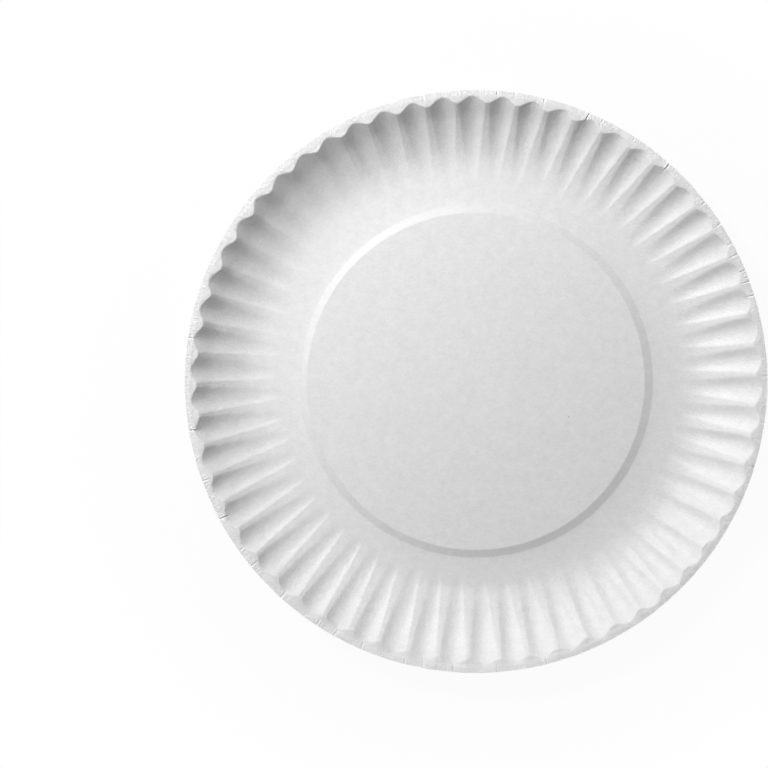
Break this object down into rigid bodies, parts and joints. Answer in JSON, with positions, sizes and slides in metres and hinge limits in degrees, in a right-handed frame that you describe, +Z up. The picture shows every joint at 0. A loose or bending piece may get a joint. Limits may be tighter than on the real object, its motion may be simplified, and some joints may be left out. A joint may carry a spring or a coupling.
{
  "type": "paper plate",
  "caption": "Round white paper plate pressed from one disc of board, with a fluted wall, a narrow flat rim and a raised middle panel.",
  "frame": {"origin": "middle of the plate, on the surface that it lies on", "axes": "+Z up out of the plate's face along its axis, +X and +Y across the plate"},
  "size_m": [0.229, 0.229, 0.0155],
  "materials": {
    "paperboard": "uncoated, matt, with a fine fibre mottle"
  },
  "bodies": {
    "root": {"plate": "paperboard"}
  },
  "joints": []
}
